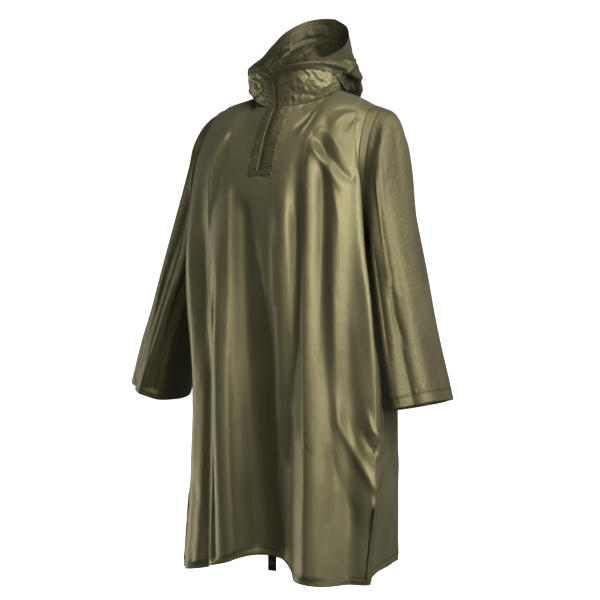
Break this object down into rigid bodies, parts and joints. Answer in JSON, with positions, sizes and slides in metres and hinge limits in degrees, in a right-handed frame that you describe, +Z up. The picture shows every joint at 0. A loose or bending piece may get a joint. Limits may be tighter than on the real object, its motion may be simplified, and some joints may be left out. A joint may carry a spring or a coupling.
{
  "type": "hooded rain poncho",
  "caption": "Hooded pull-on rain poncho with wide sleeves, stand collar, half zip and stud-closed side slits, holding its worn form.",
  "frame": {"origin": "between the two neck points of the shoulder seams, where the wearer's neck and shoulders hold the garment", "axes": "+Z up, -Y out of the front, +X towards the wearer's left"},
  "size_m": [0.7916, 0.3932, 1.262],
  "materials": {
    "shell_cloth": "coated taffeta with a satin sheen",
    "zip_tape": "matt woven tape with moulded teeth",
    "dark_metal": "satin olive lacquer",
    "webbing": "matt black webbing"
  },
  "bodies": {
    "poncho": {"front_panel": "shell_cloth", "back_panel": "shell_cloth", "sleeve_left": "shell_cloth", "sleeve_right": "shell_cloth", "collar_left": "shell_cloth", "collar_right": "shell_cloth", "hood_left": "shell_cloth", "hood_right": "shell_cloth", "zip_placket": "shell_cloth", "zip_tape_left": "zip_tape", "zip_tape_right": "zip_tape", "zip_slider": "dark_metal", "press_stud_left_1": "dark_metal", "press_stud_left_2": "dark_metal", "press_stud_left_3": "dark_metal", "press_stud_right_1": "dark_metal", "press_stud_right_2": "dark_metal", "press_stud_right_3": "dark_metal", "hem_tab": "webbing", "hem_tab_stud": "dark_metal"},
    "zip_pull": {"zip_pull": "dark_metal"}
  },
  "joints": [
    {"name": "zip_pull_hinge", "type": "hinge", "parent": "poncho", "child": "zip_pull", "pos_m": [0, -0.11076, 0.02461], "axis": [1, 0, 0], "range_deg": [-150, 0]}
  ]
}
